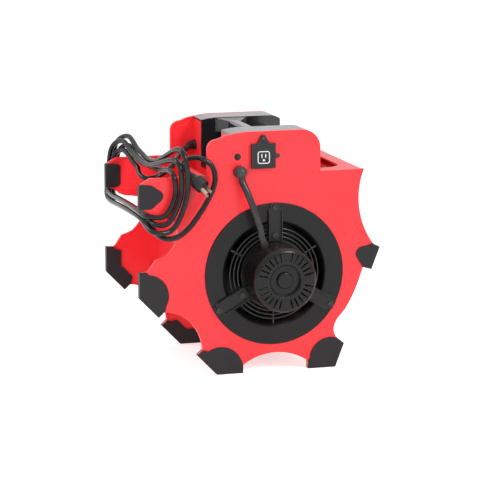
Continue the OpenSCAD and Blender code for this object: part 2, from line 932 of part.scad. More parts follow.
// Grounded mains outlet behind its cover
module receptacle() {
    color(black)
    difference() {
        translate([receptacle_x - 16.8, y_near + 0.4, receptacle_z - 16.8])
            cube([33.6, 28, 29.6]);
        for (s = [-1, 1])
            translate([receptacle_x + s * 6.3 - 1, y_near - 1, receptacle_z - 3])
                cube([2, 12, 8]);
        rod_y(receptacle_x, receptacle_z - 10, 2.8, y_near - 1, y_near + 12, 24);
    }
}

cover_x = 2.5;
cover_z = total_h - 11;
cover_t = 6;
cover_y = y_near - 2.5;                // back of the cover, clear of the screw heads

// Square cover on a triangular tab; it swings aside on its screw
module receptacle_cover() {
    x0 = cover_x - flap_w / 2;
    z1 = cover_z - 10;
    z0 = z1 - 45;
    color(black)
    difference() {
        union() {
            slab(cover_y - cover_t, cover_y) translate([x0, z0]) square([flap_w, z1 - z0]);
            slab(cover_y - 4, cover_y) polygon([
                [cover_x - 12, z1 - 1], [cover_x - 4.5, cover_z + 2],
                [cover_x + 4.5, cover_z + 2], [cover_x + 12, z1 - 1]]);
            rod_y(cover_x, cover_z, 5.2, cover_y - 4, y_near - 0.2, 32);
        }
        // hollow back
        translate([x0 + 2.5, cover_y - cover_t + 2.5, z0 + 2.5])
            cube([flap_w - 5, cover_t, z1 - z0 - 5]);
        rod_y(cover_x, cover_z, 2 + run_fit, cover_y - 6, y_near, 32);
    }
}

module cross_screw(x, z, y, r) {
    difference() {
        rod_y(x, z, r, y - 2, y, 32);
        translate([x - r * 0.6, y - 2.5, z - 0.5])
            cube([r * 1.2, 1.5, 1]);
        translate([x - 0.5, y - 2.5, z - r * 0.6])
            cube([1, 1.5, r * 1.2]);
    }
}

module cover_screw() {
    color(steel) {
        cross_screw(cover_x, cover_z, cover_y - 4.1, 3.6);
        rod_y(cover_x, cover_z, 2, cover_y - 4.2, y_near + 6, 32);
    }
}

module receptacle_screw() {
    color(black) {
        cross_screw(fix_x, fix_z, y_near, 4.2);
        rod_y(fix_x, fix_z, 2, y_near - 0.1, y_near + 8, 32);
    }
}

// Breaker with the bush that the reset button slides in
module breaker() {
    color(black)
    difference() {
        union() {
            rod_y(breaker_x, breaker_z, bush_ctrl_r, y_near - 1, y_near + skin_t, 32);
            translate([breaker_x - 7, y_near + skin_t, breaker_z - 12])
                cube([14, 26, 24]);
        }
        rod_y(breaker_x, breaker_z, 3.6 + run_fit, y_near - 2, y_near + skin_t + 6, 32);
    }
}

module reset_button() {
    color(black)
    rod_y(breaker_x, breaker_z, 3.6, y_near - 1 - reset_travel - 0.5, y_near + skin_t + 2, 32);
}

// -------------------------------------------------------------- motor lead

lead_d = 12.5;
gland_y = y_near - 24;
gland_a = -23;                            // lean of the gland from +Z
gland_x = fan_x + motor_r * sin(gland_a);
gland_z = fan_z + motor_r * cos(gland_a);
gland_h = 12;
gland_dir = [sin(gland_a), 0, cos(gland_a)];
boot_r = 11.5;
lead_a = -10;                             // lean of the lead where it leaves the boot
lead_dir = [sin(180 + lead_a), 0, cos(180 + lead_a)];
lead_start = [boot_x, y_near - boot_r, boot_z] + (boot_r - 3) * lead_dir;
lead_end = [gland_x, gland_y, gland_z] + gland_h * gland_dir;
lead_pts = [
    lead_start,
    lead_start + 5 * lead_dir,
    lead_start + 10 * lead_dir,
    [-31.5, -116, 334],
    [-25, -121, 316],
    [-19, -124, 298],
    [-13, -124, 280],
    [-8, -122, 265],
    lead_end + 8 * gland_dir,
    lead_end + 4 * gland_dir,
    lead_end];

// Rounded rubber boot that turns the lead downwards
module lead_boot() {
    color(black)
    difference() {
        union() {
            rod_y(boot_x, boot_z, boot_neck_r, y_near, y_near + skin_t + 2, 32);
            rod_y(boot_x, boot_z, boot_r, y_near - boot_r, y_near, 48);
            translate([boot_x, y_near - boot_r, boot_z])
                sphere(r = boot_r, $fn = 48);
        }
        // seat of the lead
        translate(lead_start)
            rotate([0, 180 + lead_a, 0])
                cylinder(r = lead_d, h = 20, $fn = 48);
    }
}

module lead_gland() {
    color(black)
    translate([gland_x, gland_y, gland_z])
        rotate([0, gland_a, 0])
            difference() {
                union() {
                    cylinder(r = 8, h = gland_h - 4, $fn = 6);
                    cylinder(r = 6.5, h = gland_h, $fn = 48);
                }
                translate([0, 0, -motor_r])
                    rotate([90, 0, 0])
                        cylinder(r = motor_r + 0.05, h = 60, center = true, $fn = 96);
            }
}

// ----------------------------------------------------------- swept tubes

function unit(v) = v / norm(v);

// Catmull-Rom point between p1 and p2
function spline(p0, p1, p2, p3, t) =
    0.5 * (2 * p1 + (p2 - p0) * t + (2 * p0 - 5 * p1 + 4 * p2 - p3) * t * t
        + (3 * p1 - p0 - 3 * p2 + p3) * t * t * t);

// Smooth path through the points, n steps between two of them
function smooth(p, n) = concat(
    [for (i = [0:len(p) - 2], k = [0:n - 1])
        spline(p[max(i - 1, 0)], p[i], p[i + 1], p[min(i + 2, len(p) - 1)], k / n)],
    [p[len(p) - 1]]);

function tangent(p, i) = unit(p[min(i + 1, len(p) - 1)] - p[max(i - 1, 0)]);

// Carries the side vector along the path without twist
function sides(p, i, prev) =
    let (t = tangent(p, i), s = unit(prev - (prev * t) * t))
    i == len(p) - 1 ? [s] : concat([s], sides(p, i + 1, s));

function first_side(t) = unit(cross(t, abs(t[2]) < 0.9 ? [0, 0, 1] : [1, 0, 0]));

// One closed tube along the path
module tube(p, r, n) {
    s = sides(p, 0, first_side(tangent(p, 0)));
    m = len(p);
    pts = concat(
        [for (i = [0:m - 1], k = [0:n - 1])
            let (t = tangent(p, i), b = cross(t, s[i]), a = k * 360 / n)
            p[i] + r * (cos(a) * s[i] + sin(a) * b)],
        [p[0], p[m - 1]]);
    polyhedron(points = pts, faces = concat(
        [for (i = [0:m - 2], k = [0:n - 1])
            [i * n + k, i * n + (k + 1) % n, (i + 1) * n + k]],
        [for (i = [0:m - 2], k = [0:n - 1])
            [i * n + (k + 1) % n, (i + 1) * n + (k + 1) % n, (i + 1) * n + k]],
        [for (k = [0:n - 1]) [m * n, (k + 1) % n, k]],
        [for (k = [0:n - 1]) [m * n + 1, (m - 1) * n + k, (m - 1) * n + (k + 1) % n]]));
}

function path_len(p) =
    len(p) < 2 ? 0 : [for (i = [0:len(p) - 2]) 1] * [for (i = [0:len(p) - 2]) norm(p[i + 1] - p[i])];

module motor_lead() {
    color(black)
    tube(smooth(lead_pts, 2), lead_d / 2, 10);
}

// ------------------------------------------------------------------- cord

relief_in = 10;                        // wall to the elbow of the relief
relief_len = 26;                       // length of its taper
relief_r1 = 8;                         // radius of the elbow
relief_yaw = 52;                       // turn of the taper towards the near side
relief_drop = 11;                      // fall of the taper
relief_at = [insert_x0 - relief_in, exit_y, exit_z];
relief_dir = [-cos(relief_yaw) * cos(relief_drop), -sin(relief_yaw) * cos(relief_drop), -sin(relief_drop)];
relief_tip = relief_at + relief_len * relief_dir;

// Turns a piece drawn along +Z into direction v
module aim(v) {
    rotate([0, acos(v[2]), atan2(v[1], v[0])])
        children();
}

// Rubber strain relief: a collar in the rear wall of the switch box, an elbow
// and a taper that the cord leaves
module strain_relief() {
    color(black)
    difference() {
        union() {
            translate([insert_x0, exit_y, exit_z])
                rotate([0, -90, 0])
                    rotate_extrude($fn = 48)
                        polygon([[0, -wall_t - 4], [relief_r + 2, -wall_t - 4], [relief_r + 2, -wall_t],
                            [relief_r, -wall_t], [relief_r, 0], [relief_r + 4, 0], [relief_r + 4, 4],
                            [relief_r1, 4], [relief_r1, relief_in], [0, relief_in]]);
            translate(relief_at) {
                sphere(r = relief_r1, $fn = 48);
                aim(relief_dir)
                    cylinder(r1 = relief_r1, r2 = cord_d / 2 + 1, h = relief_len, $fn = 48);
            }
        }
        // flex grooves round the taper
        for (h = [9:5:19])
            translate(relief_at + h * relief_dir)
                aim(relief_dir)
                    difference() {
                        cylinder(r = 10, h = 2, $fn = 48);
                        cylinder(r = cord_d / 2 + 0.8, h = 2, $fn = 48);
                    }
    }
}

// Winding: twelve places round the two horns, from the middle of the top run
// over the far horn, back under both horns and up in front of the near plate
loop_n = 12;
// where the innermost turn passes
loop_base = [
    [-172, 20, 356], [-180, 105, 363], [-186, 156, 378], [-198, 179, 365],
    [-207, 179, 324], [-212, 168, 298.5], [-212, 60, 300], [-213, -60, 301],
    [-206, -100, 296.5], [-181, -111, 299], [-162, -111, 336], [-166, -99, 374]];
// shift from one turn to the next
loop_step = [
    [0, 0, 6.7], [0, 0, 7.2], [0, 2.4, 8.3], [-1.2, 6.6, 6],
    [0, 7.2, 0], [0, 4.8, -6], [0, 0, -6], [1.8, 0, -6.6],
    [2.4, -10.1, -12.6], [7.1, -4.8, -10.4], [9.7, -5.3, 3.6], [7.6, -4.8, 20.2]];
// half the space between two turns that lie side by side
loop_side = [5.4, 5.4, 5.4, 5.4, 5.4, 5.4, 5.4, 5.4, 3.6, 0, 0, 0];

function wind_at(j) =
    let (i = j % loop_n, k = floor(j / loop_n))
    loop_base[i] + k * loop_step[i] + [(k % 2 == 0 ? -1 : 1) * loop_side[i], 0, 0];

wind_first = 1;
wind_last = loop_n * cord_turns + 7;
wind_mid = [for (j = [wind_first:wind_last]) wind_at(j)];
wind_in_dir = unit(wind_mid[1] - wind_mid[0]);
wind_out_dir = unit(wind_mid[len(wind_mid) - 1] - wind_mid[len(wind_mid) - 2]);
wind_in = wind_mid[0] - cord_d * wind_in_dir;
wind_out = wind_mid[len(wind_mid) - 1] + cord_d * wind_out_dir;

// Centre line of the winding, n steps between two places, with straight ends
function wind_line(n) = concat([wind_in], smooth(wind_mid, n), [wind_out]);

// Free stretch from the strain relief to the winding
cord_in_pts = [
    relief_tip,
    relief_tip + cord_d * relief_dir,
    relief_tip + 2 * cord_d * relief_dir,
    [-102, 96, 371],
    [-116, 74, 362],
    [-134, 56, 352],
    [-154, 46, 344],
    [-172, 48, 340],
    [-181, 60, 343],
    [-183, 73, 349.5],
    wind_in - 1.5 * cord_d * wind_in_dir,
    wind_in - 0.75 * cord_d * wind_in_dir,
    wind_in];

// Tail: from the winding, up in front of the near plate and over to the plug
plug_at = [-133.5, -103, 369];
plug_dir = unit([0.5, -0.66, -0.56]);
plug_len = 36;
plug_r = 13;
tail_pts = [
    wind_out,
    wind_out + cord_d * wind_out_dir,
    [-200, -88.5, 276.5],
    [-193, -104, 263],
    [-180, -118, 258],
    [-161, -124, 262],
    [-142, -125, 276],
    [-124, -123, 297],
    [-106, -120, 323],
    [-94, -119, 348],
    [-91, -116, 368],
    [-97, -112, 386],
    [-109, -109, 395],
    [-120, -101, 398],
    [-131, -91, 396],
    [-139, -84.5, 390.5],
    [-142.5, -87, 383],
    plug_at - 1.5 * cord_d * plug_dir,
    plug_at - 0.75 * cord_d * plug_dir,
    plug_at];

module cord() {
    color(black)
    tube(smooth(cord_in_pts, 2), cord_d / 2, 8);
}

module cord_winding() {
    color(black)
    tube(wind_line(3), cord_d / 2, 6);
}

module cord_tail() {
    color(black)
    tube(smooth(tail_pts, 2), cord_d / 2, 8);
}

// Places a piece drawn along +Z on the axis of the plug
module on_plug() {
    translate(plug_at)
        aim(plug_dir)
            children();
}

module plug() {
    color(black)
    on_plug()
        rotate_extrude($fn = 48)
            polygon([[0, 0], [5, 0], [6, 3], [7.5, 12], [10, 15], [plug_r, 19],
                [plug_r, plug_len - 1], [plug_r - 1, plug_len], [0, plug_len]]);
}

module plug_blades() {
    color(steel)
    on_plug() {
        for (s = [-1, 1])
            translate([-3.2, s * 6.3 - 0.75, plug_len])
                cube([6.4, 1.5, 16]);
        translate([7, 0, plug_len])
            cylinder(r = 2.4, h = 18, $fn = 32);
    }
}

// Least gap between stretches of the winding that are not next to each other
fine = wind_line(8);
function least(p, skip) = min([for (i = [0:len(p) - 1 - skip])
    min([for (j = [i + skip:len(p) - 1]) norm(p[i] - p[j])])]);

echo(winding_gap = least(fine, 40) - cord_d);
echo(cord_length = path_len(smooth(cord_in_pts, 8)) + path_len(fine) + path_len(smooth(tail_pts, 8)));

near_shell();
far_shell();
near_cap_horn();
near_cap_rear();
near_cap_rear_floor();
near_cap_front_floor();
near_cap_front();
far_cap_horn();
far_cap_rear();
far_cap_rear_floor();
far_cap_front_floor();
far_cap_front();
inlet_ring();
inlet_guard();
far_inlet_grille();
outlet_grille();
shell_screws();
motor_can();
motor_flange();
motor_front_bell();
motor_rear_bell();
motor_dust_cap();
motor_stator();
motor_rotor();
motor_shaft();
front_bearing();
rear_bearing();
motor_arm_top();
motor_arm_rear();
motor_arm_front();
arm_screws();
impeller();
hub_nut();
handle_insert();
speed_switch();
speed_knob();
receptacle();
receptacle_cover();
cover_screw();
receptacle_screw();
breaker();
reset_button();
lead_boot();
motor_lead();
lead_gland();
strain_relief();
cord();
cord_winding();
cord_tail();
plug();
plug_blades();
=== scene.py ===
import math

import bmesh
import bpy
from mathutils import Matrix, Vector


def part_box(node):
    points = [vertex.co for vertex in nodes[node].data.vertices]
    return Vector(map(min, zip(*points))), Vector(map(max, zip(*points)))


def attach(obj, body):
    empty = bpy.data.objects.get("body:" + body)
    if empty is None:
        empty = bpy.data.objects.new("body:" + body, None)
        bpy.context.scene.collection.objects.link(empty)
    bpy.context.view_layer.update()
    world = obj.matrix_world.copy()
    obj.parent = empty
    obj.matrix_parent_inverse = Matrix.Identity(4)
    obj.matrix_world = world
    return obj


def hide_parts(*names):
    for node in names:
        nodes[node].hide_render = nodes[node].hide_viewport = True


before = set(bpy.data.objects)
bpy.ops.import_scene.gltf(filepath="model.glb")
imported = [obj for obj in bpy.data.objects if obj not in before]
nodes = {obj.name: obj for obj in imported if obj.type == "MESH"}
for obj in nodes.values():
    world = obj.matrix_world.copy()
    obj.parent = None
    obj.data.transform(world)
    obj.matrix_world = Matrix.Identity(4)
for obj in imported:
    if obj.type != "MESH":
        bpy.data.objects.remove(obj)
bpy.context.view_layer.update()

MM = 0.001


def metres(points):
    """Points in millimetres, as the part's source has them, as vectors in metres."""
    return [Vector(p) * MM for p in points]


# ---------------------------------------------------------------- camera

camera_data = bpy.data.cameras.new("studio_camera")
camera_data.sensor_width = 36
camera_data.lens = 178.15
camera_data.clip_start = 0.1
camera_data.clip_end = 100
camera = bpy.data.objects.new("studio_camera", camera_data)
bpy.context.scene.collection.objects.link(camera)
camera.location = (-1.2290, -4.1555, 1.0406)
camera.rotation_mode = "QUATERNION"
camera.rotation_quaternion = Vector((0.2774, 0.9426, -0.1859)).to_track_quat("-Z", "Y")
bpy.context.scene.camera = camera

# ---------------------------------------------------------------- cord routes

CORD_D = 9.5
RELIEF_AT = Vector((-65, 148, 384))
RELIEF_LEAN = math.radians(52)
RELIEF_DIP = math.radians(11)
RELIEF_DIR = Vector((-math.cos(RELIEF_LEAN) * math.cos(RELIEF_DIP),
                     -math.sin(RELIEF_LEAN) * math.cos(RELIEF_DIP),
                     -math.sin(RELIEF_DIP)))
RELIEF_LENGTH = 26
RELIEF_TIP = RELIEF_AT + RELIEF_DIR * RELIEF_LENGTH

LOOP_BASE = [(-172, 20, 356), (-180, 105, 363), (-186, 156, 378), (-198, 179, 365),
             (-207, 179, 324), (-212, 168, 298.5), (-212, 60, 300), (-213, -60, 301),
             (-206, -100, 296.5), (-181, -111, 299), (-162, -111, 336), (-166, -99, 374)]
LOOP_STEP = [(0, 0, 6.7), (0, 0, 7.2), (0, 2.4, 8.3), (-1.2, 6.6, 6), (0, 7.2, 0), (0, 4.8, -6),
             (0, 0, -6), (1.8, 0, -6.6), (2.4, -10.1, -12.6), (7.1, -4.8, -10.4),
             (9.7, -5.3, 3.6), (7.6, -4.8, 20.2)]
LOOP_SIDE = [5.4] * 8 + [3.6, 0, 0, 0]
PLACES = len(LOOP_BASE)
TURNS = 3
PAST_LAST_TURN = 8     # places that the winding goes on after its last full turn
CORD_STEPS = 6         # steps of a drawn cord from each point of its route to the next


def wind_at(j):
    """Place j along the winding: one round of the horns in twelve places, wider each turn."""
    i = j % PLACES
    turn = j // PLACES
    sideways = LOOP_SIDE[i] if turn % 2 else -LOOP_SIDE[i]
    return Vector(LOOP_BASE[i]) + Vector(LOOP_STEP[i]) * turn + Vector((sideways, 0, 0))


def smooth(points, steps):
    """A smooth line through the points, with so many steps from each to the next."""
    line = []
    last = len(points) - 1
    for i in range(last):
        p0, p1 = points[max(i - 1, 0)], points[i]
        p2, p3 = points[i + 1], points[min(i + 2, last)]
        for s in range(steps):
            t = s / steps
            line.append(0.5 * (2 * p1 + (p2 - p0) * t
                               + (2 * p0 - 5 * p1 + 4 * p2 - p3) * t * t
                               + (3 * p1 - p0 - 3 * p2 + p3) * t * t * t))
    line.append(points[last])
    return line


wind_mid = [wind_at(j) for j in range(1, TURNS * PLACES + PAST_LAST_TURN)]
wind_in_dir = (wind_mid[1] - wind_mid[0]).normalized()
wind_out_dir = (wind_mid[-1] - wind_mid[-2]).normalized()
wind_in = wind_mid[0] - wind_in_dir * CORD_D
wind_out = wind_mid[-1] + wind_out_dir * CORD_D

cord_in = [RELIEF_TIP, RELIEF_TIP + RELIEF_DIR * CORD_D, RELIEF_TIP + RELIEF_DIR * 2 * CORD_D]
cord_in += [Vector(p) for p in [(-102, 96, 371), (-116, 74, 362), (-134, 56, 352),
                                (-154, 46, 344), (-172, 48, 340), (-181, 60, 343),
                                (-183, 73, 349.5)]]
cord_in += [wind_in - wind_in_dir * 1.5 * CORD_D, wind_in - wind_in_dir * 0.75 * CORD_D, wind_in]

PLUG_AT = Vector((-133.5, -103, 369))
PLUG_DIR = Vector((0.5, -0.66, -0.56)).normalized()

cord_out = [wind_out, wind_out + wind_out_dir * CORD_D]
cord_out += [Vector(p) for p in [(-200, -88.5, 276.5), (-193, -104, 263), (-180, -118, 258),
                                 (-161, -124, 262), (-142, -125, 276), (-124, -123, 297),
                                 (-106, -120, 323), (-94, -119, 348), (-91, -116, 368),
                                 (-97, -112, 386), (-109, -109, 395), (-120, -101, 398),
                                 (-131, -91, 396), (-139, -84.5, 390.5), (-142.5, -87, 383)]]
cord_out += [PLUG_AT - PLUG_DIR * 1.5 * CORD_D, PLUG_AT - PLUG_DIR * 0.75 * CORD_D, PLUG_AT]

cord_line = (smooth(cord_in, CORD_STEPS) + smooth(wind_mid, CORD_STEPS)
             + smooth(cord_out, CORD_STEPS)[1:])

LEAD_D = 12.5
LEAD_START = Vector((-39.524, -108.5, 360.629))
LEAD_DIR = Vector((0.173648, 0, -0.984808))
LEAD_END = Vector((-2.742, -121, 245.356))
GLAND_DIR = Vector((-0.390731, 0, 0.920505))
lead_route = [LEAD_START, LEAD_START + LEAD_DIR * 5, LEAD_START + LEAD_DIR * 10]
lead_route += [Vector(p) for p in [(-31.5, -116, 334), (-25, -121, 316), (-19, -124, 298),
                                   (-13, -124, 280), (-8, -122, 265)]]
lead_route += [LEAD_END + GLAND_DIR * 8, LEAD_END + GLAND_DIR * 4, LEAD_END]
lead_line = smooth(lead_route, CORD_STEPS)


def drawn_cord(name, line, diameter):
    """A round cord as a curve of one open spline along a line in millimetres. Its points carry
    its radius, so that the curve's bounds fit it."""
    curve = bpy.data.curves.new(name, "CURVE")
    curve.dimensions = "3D"
    curve.bevel_depth = 1
    curve.bevel_resolution = 4
    curve.use_fill_caps = True
    spline = curve.splines.new("POLY")
    spline.points.add(len(line) - 1)
    for point, place in zip(spline.points, metres(line)):
        point.co = (place.x, place.y, place.z, 1)
        point.radius = diameter / 2 * MM
    spline.use_smooth = True
    piece = bpy.data.objects.new(name, curve)
    bpy.context.scene.collection.objects.link(piece)
    return piece


mains_cord = drawn_cord("mains_cord", cord_line, CORD_D)
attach(mains_cord, "housing")
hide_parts("cord", "cord_winding", "cord_tail")

motor_cable = drawn_cord("motor_cable", lead_line, LEAD_D)
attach(motor_cable, "housing")
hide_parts("motor_lead")

# ---------------------------------------------------------------- shared surface effects

EDGE_SAMPLES = 4       # samples of each rounded edge


def effect(name, inputs, outputs):
    """A shader node group with named float inputs (name, value) and outputs (name)."""
    group = bpy.data.node_groups.new(name, "ShaderNodeTree")
    for label, value in inputs:
        socket = group.interface.new_socket(label, in_out="INPUT", socket_type="NodeSocketFloat")
        socket.default_value = value
    for label in outputs:
        group.interface.new_socket(label, in_out="OUTPUT", socket_type="NodeSocketFloat")
    return group, group.nodes.new("NodeGroupInput"), group.nodes.new("NodeGroupOutput")


def noise(tree, place, scale, detail=3.0, roughness=0.5):
    """A noise node on the given coordinates; scale is a number or a socket."""
    node = tree.nodes.new("ShaderNodeTexNoise")
    tree.links.new(place, node.inputs["Vector"])
    if isinstance(scale, (int, float)):
        node.inputs["Scale"].default_value = scale
    else:
        tree.links.new(scale, node.inputs["Scale"])
    node.inputs["Detail"].default_value = detail
    node.inputs["Roughness"].default_value = roughness
    return node.outputs["Fac"]


def spread(tree, value, low, high, to_low=0.0, to_high=1.0):
    """Maps low..high of a value to to_low..to_high, held at both ends."""
    node = tree.nodes.new("ShaderNodeMapRange")
    tree.links.new(value, node.inputs["Value"])
    node.inputs["From Min"].default_value = low
    node.inputs["From Max"].default_value = high
    node.inputs["To Min"].default_value = to_low
    node.inputs["To Max"].default_value = to_high
    return node.outputs["Result"]


def sums(tree, operation, a, b):
    """One sum of two values, each a number or a socket."""
    node = tree.nodes.new("ShaderNodeMath")
    node.operation = operation
    for socket, value in zip(node.inputs, (a, b)):
        if isinstance(value, (int, float)):
            socket.default_value = value
        else:
            tree.links.new(value, socket)
    return node.outputs["Value"]


def moulded_skin():
    """Fine grain of a moulded surface, and the slow mottle of its colour."""
    group, given, out = effect("moulded skin", [("Grain", 900.0), ("Flow", 14.0)],
                               ["Height", "Mottle"])
    place = group.nodes.new("ShaderNodeTexCoord").outputs["Object"]
    fine = noise(group, place, given.outputs["Grain"], 2.0, 0.6)
    slow = noise(group, place, given.outputs["Flow"], 4.0, 0.55)
    group.links.new(fine, out.inputs["Height"])
    group.links.new(spread(group, slow, 0.3, 0.7), out.inputs["Mottle"])
    return group


def painted_edge_sheen_and_wear():
    """Where edges stand out: the mask of a painted edge highlight that is partly rubbed wear,
    broken up by noise.
    """
    group, given, out = effect("painted edge sheen and wear", [("Width", 0.0012)], ["Mask"])
    place = group.nodes.new("ShaderNodeTexCoord").outputs["Object"]
    rounded = group.nodes.new("ShaderNodeBevel")
    rounded.samples = EDGE_SAMPLES
    group.links.new(given.outputs["Width"], rounded.inputs["Radius"])
    flat = group.nodes.new("ShaderNodeNewGeometry")
    turn = group.nodes.new("ShaderNodeVectorMath")
    turn.operation = "DOT_PRODUCT"
    group.links.new(rounded.outputs["Normal"], turn.inputs[0])
    group.links.new(flat.outputs["Normal"], turn.inputs[1])
    edge = spread(group, turn.outputs["Value"], 0.985, 0.8)
    patchy = spread(group, noise(group, place, 60.0, 5.0, 0.65), 0.42, 0.62)
    group.links.new(sums(group, "MULTIPLY", edge, patchy), out.inputs["Mask"])
    return group


def settled_dust():
    """Dust on faces that look up."""
    group, given, out = effect("settled dust", [("Amount", 0.3)], ["Mask"])
    place = group.nodes.new("ShaderNodeTexCoord").outputs["Object"]
    parts = group.nodes.new("ShaderNodeSeparateXYZ")
    group.links.new(group.nodes.new("ShaderNodeNewGeometry").outputs["Normal"], parts.inputs[0])
    up = spread(group, parts.outputs["Z"], 0.35, 1.0)
    patchy = spread(group, noise(group, place, 45.0, 6.0, 0.7), 0.35, 0.75)
    mask = sums(group, "MULTIPLY", sums(group, "MULTIPLY", up, patchy), given.outputs["Amount"])
    group.links.new(mask, out.inputs["Mask"])
    return group


def hairline_scratches():
    """Thin scattered scratches in three directions."""
    group, given, out = effect("hairline scratches", [("Amount", 0.5)], ["Mask"])
    place = group.nodes.new("ShaderNodeTexCoord").outputs["Object"]
    total = None
    for angle, stretch in ((0.4, 26.0), (1.9, 34.0), (2.7, 22.0)):
        turned = group.nodes.new("ShaderNodeMapping")
        turned.inputs["Rotation"].default_value = (angle, angle * 0.7, angle * 1.3)
        turned.inputs["Scale"].default_value = (stretch * 30, stretch, stretch)
        group.links.new(place, turned.inputs["Vector"])
        streak = spread(group, noise(group, turned.outputs["Vector"], 1.0, 2.0, 0.4), 0.71, 0.78)
        total = streak if total is None else sums(group, "MAXIMUM", total, streak)
    group.links.new(sums(group, "MULTIPLY", total, given.outputs["Amount"]), out.inputs["Mask"])
    return group


SKIN = moulded_skin()
# Edges lightened by this mask are a painted edge highlight, partly rubbed wear.
EDGE_SHEEN_AND_WEAR = painted_edge_sheen_and_wear()
DUST = settled_dust()
SCRATCHES = hairline_scratches()

# ---------------------------------------------------------------- materials

SCRATCH_ROUGHENS = 0.25
DUST_ROUGHENS = 0.5


def placed(tree, group, **values):
    """Puts an effect group into a tree with its own values."""
    node = tree.nodes.new("ShaderNodeGroup")
    node.node_tree = group
    for label, value in values.items():
        node.inputs[label].default_value = value
    return node


def blended(tree, mask, first, second):
    """Mixes two colours, each a colour or a socket, by a mask."""
    node = tree.nodes.new("ShaderNodeMix")
    node.data_type = "RGBA"
    tree.links.new(mask, node.inputs["Factor"])
    for socket, value in ((node.inputs["A"], first), (node.inputs["B"], second)):
        if isinstance(value, tuple):
            socket.default_value = (*value, 1.0)
        else:
            tree.links.new(value, socket)
    return node.outputs["Result"]


def finish(name, colour, shade, rough, metallic=0.0, ior=1.5, coat=0.0, coat_rough=0.1,
           grain=900.0, flow=14.0, relief=0.00004, rounding=0.0008, edge_sheen_and_wear_colour=None, width=0.0012,
           dusty=0.15, dust_colour=(0.42, 0.40, 0.38), scratched=0.3):
    """A surface finish: its colour and its darker shade, roughness between two values, grain
    relief in metres, softly rounded edges, edges lightened by a painted edge highlight that is
    partly rubbed wear, dust and hairline scratches."""
    material = bpy.data.materials.new(name)
    material.use_nodes = True
    tree = material.node_tree
    surface = tree.nodes["Principled BSDF"]
    surface.inputs["Metallic"].default_value = metallic
    surface.inputs["IOR"].default_value = ior
    surface.inputs["Coat Weight"].default_value = coat
    surface.inputs["Coat Roughness"].default_value = coat_rough
    skin = placed(tree, SKIN, Grain=grain, Flow=flow)
    tint = blended(tree, skin.outputs["Mottle"], shade, colour)
    # Edges blended towards a lighter edge colour: painted edge highlight, partly rubbed wear.
    if edge_sheen_and_wear_colour:
        tint = blended(tree, placed(tree, EDGE_SHEEN_AND_WEAR, Width=width).outputs["Mask"], tint, edge_sheen_and_wear_colour)
    dust = placed(tree, DUST, Amount=dusty).outputs["Mask"]
    tint = blended(tree, dust, tint, dust_colour)
    tree.links.new(tint, surface.inputs["Base Color"])
    worn = placed(tree, SCRATCHES, Amount=scratched).outputs["Mask"]
    gloss = spread(tree, skin.outputs["Mottle"], 0.0, 1.0, rough[0], rough[1])
    gloss = sums(tree, "ADD", gloss, sums(tree, "MULTIPLY", worn, SCRATCH_ROUGHENS))
    gloss = sums(tree, "ADD", gloss, sums(tree, "MULTIPLY", dust, DUST_ROUGHENS))
    tree.links.new(gloss, surface.inputs["Roughness"])
    bump = tree.nodes.new("ShaderNodeBump")
    bump.inputs["Distance"].default_value = relief
    bump.inputs["Strength"].default_value = 1.0
    tree.links.new(skin.outputs["Height"], bump.inputs["Height"])
    if rounding:
        rounded = tree.nodes.new("ShaderNodeBevel")
        rounded.samples = EDGE_SAMPLES
        rounded.inputs["Radius"].default_value = rounding
        tree.links.new(rounded.outputs["Normal"], bump.inputs["Normal"])
    tree.links.new(bump.outputs["Normal"], surface.inputs["Normal"])
    return material


# The lighter edge colours given below are painted edge highlights, partly rubbed wear.
RED = finish("red polyethylene", (0.88, 0.026, 0.034), (0.80, 0.018, 0.026), (0.30, 0.40),
             grain=1400.0, flow=9.0, relief=0.00003, rounding=0.001,
             edge_sheen_and_wear_colour=(0.90, 0.09, 0.10), width=0.001, dusty=0.04, scratched=0.25)
CAP_RUBBER = finish("cap rubber", (0.014, 0.012, 0.014), (0.009, 0.008, 0.009), (0.5, 0.62),
                    ior=1.38, grain=2200.0, relief=0.00006, rounding=0.0012,
                    edge_sheen_and_wear_colour=(0.05, 0.048, 0.048), dusty=0.12, scratched=0.2)
PANEL_BLACK = finish("inlet panel black", (0.007, 0.006, 0.006), (0.005, 0.004, 0.004),
                     (0.26, 0.36), ior=1.34, grain=1600.0, relief=0.00003, rounding=0.001,
                     edge_sheen_and_wear_colour=(0.04, 0.038, 0.037), dusty=0.08, scratched=0.4)
WIRE_BLACK = finish("guard coating", (0.014, 0.014, 0.014), (0.009, 0.009, 0.009), (0.22, 0.3),
                    grain=1800.0, relief=0.00002, rounding=0.0, dusty=0.1, scratched=0.2)
MOTOR_PAINT = finish("motor paint", (0.006, 0.005, 0.005), (0.004, 0.004, 0.004), (0.16, 0.24),
                     ior=1.34, grain=1500.0, relief=0.00002, rounding=0.0008,
                     edge_sheen_and_wear_colour=(0.10, 0.10, 0.098), width=0.0007, dusty=0.08, scratched=0.3)
ARM_PAINT = finish("arm paint", (0.010, 0.009, 0.009), (0.007, 0.006, 0.006), (0.26, 0.36),
                   ior=1.36, grain=900.0, relief=0.00004, rounding=0.0008,
                   edge_sheen_and_wear_colour=(0.11, 0.108, 0.10), width=0.0008, dusty=0.08, scratched=0.35)
HANDLE_BLACK = finish("handle black", (0.012, 0.012, 0.014), (0.008, 0.008, 0.010),
                      (0.16, 0.24), coat=0.3, grain=1500.0, relief=0.00002, rounding=0.0012,
                      edge_sheen_and_wear_colour=(0.05, 0.05, 0.055), dusty=0.1, scratched=0.5)
CONTROL_BLACK = finish("control black", (0.014, 0.013, 0.015), (0.010, 0.010, 0.011),
                       (0.34, 0.44), ior=1.40, grain=1900.0, relief=0.00005, rounding=0.0008,
                       edge_sheen_and_wear_colour=(0.06, 0.058, 0.058), dusty=0.08, scratched=0.3)
